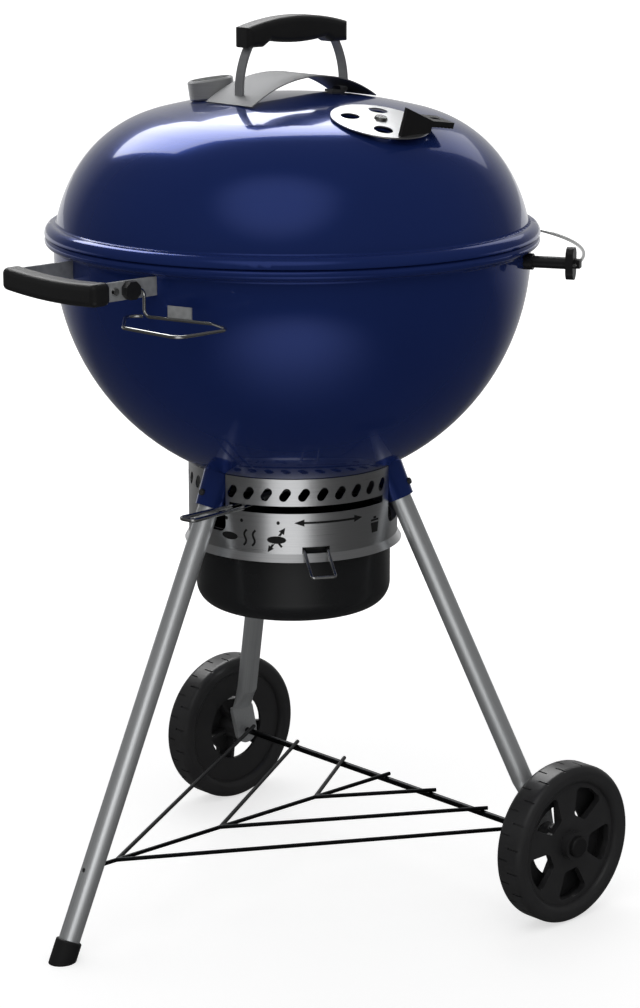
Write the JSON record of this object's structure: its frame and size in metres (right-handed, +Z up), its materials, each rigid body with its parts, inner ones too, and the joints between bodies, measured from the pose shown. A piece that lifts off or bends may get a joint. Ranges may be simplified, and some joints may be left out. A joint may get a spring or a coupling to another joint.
{
  "type": "kettle charcoal grill",
  "caption": "Round enamelled kettle charcoal grill with a lift-off lid, vented ash catcher, hinged cooking grate, side handle and a wheeled tripod stand.",
  "frame": {"origin": "centre of the whole footprint, on the floor", "axes": "+Z up, +X from the foot leg towards the axle, -Y the front with the vent lever and signs"},
  "size_m": [0.7275, 0.666, 1.0723],
  "materials": {
    "navy_enamel": "glossy porcelain enamel",
    "black_nylon": "fine moulded grain",
    "wheel_plastic": "fine moulded grain",
    "bright_wire": "bright plated wire",
    "grate_steel": "plated rod",
    "plain_steel": "brushed",
    "sweeper_steel": "aluminised sheet",
    "brushed_aluminium": "brushed",
    "tube_aluminium": "satin",
    "bucket_steel": "dark satin",
    "thermometer_steel": "turned",
    "dial_white": "matt",
    "needle_red": "matt",
    "clear_glass": "clear",
    "button_plastic": "smooth"
  },
  "bodies": {
    "kettle": {"accessory_ring": "bright_wire", "ash_collar": "brushed_aluminium", "axle": "bright_wire", "bottom_rack": "bright_wire", "bowl_shell": "navy_enamel", "charcoal_grate": "grate_steel", "charcoal_grate_brackets": "plain_steel", "cooking_grate_brackets": "plain_steel", "cooking_grate_frame": "grate_steel", "foot_cap": "black_nylon", "hub_cap_front": "black_nylon", "hub_cap_rear": "black_nylon", "leg_foot": "tube_aluminium", "leg_front": "tube_aluminium", "leg_rear": "tube_aluminium", "leg_socket_foot": "navy_enamel", "leg_socket_front": "navy_enamel", "leg_socket_rear": "navy_enamel", "lid_holder_hoop": "bright_wire", "lid_holder_post_front": "black_nylon", "lid_holder_post_rear": "black_nylon", "ring_clamp": "black_nylon", "ring_plate": "plain_steel", "side_handle_arm_front": "plain_steel", "side_handle_arm_rear": "plain_steel", "side_handle_grip": "black_nylon", "side_handle_screws": "plain_steel"},
    "lid": {"lid_shell": "navy_enamel", "lid_handle_strap_left": "plain_steel", "lid_handle_strap_right": "plain_steel", "lid_handle_grip": "black_nylon", "heat_shield": "plain_steel", "lid_handle_bolts": "plain_steel", "thermometer_case": "thermometer_steel", "thermometer_dial": "dial_white", "thermometer_lens": "clear_glass", "thermometer_probe": "plain_steel", "thermometer_nut": "plain_steel", "damper_rivet": "plain_steel"},
    "damper": {"damper_disc": "brushed_aluminium", "damper_tab": "black_nylon"},
    "thermometer_hand": {"thermometer_needle": "needle_red"},
    "sweeper": {"sweeper_blades": "sweeper_steel", "sweeper_shaft": "plain_steel", "sweeper_lever": "plain_steel", "sweeper_pull": "bright_wire"},
    "bucket": {"ash_bucket": "bucket_steel"},
    "bail": {"release_bail": "bright_wire"},
    "front_wheel": {"wheel_front": "wheel_plastic"},
    "rear_wheel": {"wheel_rear": "wheel_plastic"},
    "left_flap": {"cooking_grate_flap_left": "grate_steel"},
    "right_flap": {"cooking_grate_flap_right": "grate_steel"},
    "foot_button": {"leg_button_foot": "button_plastic"},
    "front_button": {"leg_button_front": "button_plastic"},
    "rear_button": {"leg_button_rear": "button_plastic"}
  },
  "joints": [
    {"name": "lid_lift", "type": "slide", "parent": "kettle", "child": "lid", "axis": [0, 0, 1], "range_m": [0, 0.35]},
    {"name": "damper_turn", "type": "hinge", "parent": "lid", "child": "damper", "pos_m": [0.00761, -0.15961, 0.96235], "axis": [-0.0167, -0.239, 0.9709], "range_deg": [0, 45]},
    {"name": "thermometer_hand_turn", "type": "hinge", "parent": "lid", "child": "thermometer_hand", "pos_m": [-0.04318, 0.07003, 0.97522], "axis": [0.0928, -0.1049, -0.9902], "range_deg": [0, 250]},
    {"name": "sweeper_turn", "type": "hinge", "parent": "kettle", "child": "sweeper", "pos_m": [0.01877, 0, 0.511], "axis": [0, 0, 1], "range_deg": [0, 82]},
    {"name": "bucket_drop", "type": "slide", "parent": "kettle", "child": "bucket", "axis": [0, 0, -1], "range_m": [0, 0.2]},
    {"name": "bail_lift", "type": "hinge", "parent": "kettle", "child": "bail", "pos_m": [-0.04166, -0.10467, 0.46336], "axis": [-0.866, 0.5, 0], "range_deg": [0, 25]},
    {"name": "front_wheel_spin", "type": "hinge", "parent": "kettle", "child": "front_wheel", "pos_m": [0.17925, -0.3035, 0.0975], "axis": [0, 1, 0], "continuous": true},
    {"name": "rear_wheel_spin", "type": "hinge", "parent": "kettle", "child": "rear_wheel", "pos_m": [0.17925, 0.3035, 0.0975], "axis": [0, 1, 0], "continuous": true},
    {"name": "left_flap_raise", "type": "hinge", "parent": "kettle", "child": "left_flap", "pos_m": [-0.14723, 0, 0.776], "axis": [0, 1, 0], "range_deg": [0, 95]},
    {"name": "right_flap_raise", "type": "hinge", "parent": "kettle", "child": "right_flap", "pos_m": [0.18477, 0, 0.776], "axis": [0, -1, 0], "range_deg": [0, 95]},
    {"name": "foot_button_press", "type": "slide", "parent": "kettle", "child": "foot_button", "axis": [0.9096, 0, -0.4156], "range_m": [0, 0.003], "stiffness_N_per_m": 800},
    {"name": "front_button_press", "type": "slide", "parent": "kettle", "child": "front_button", "axis": [-0.4548, 0.7877, -0.4156], "range_m": [0, 0.003], "stiffness_N_per_m": 800},
    {"name": "rear_button_press", "type": "slide", "parent": "kettle", "child": "rear_button", "axis": [-0.4548, -0.7877, -0.4156], "range_m": [0, 0.003], "stiffness_N_per_m": 800}
  ]
}
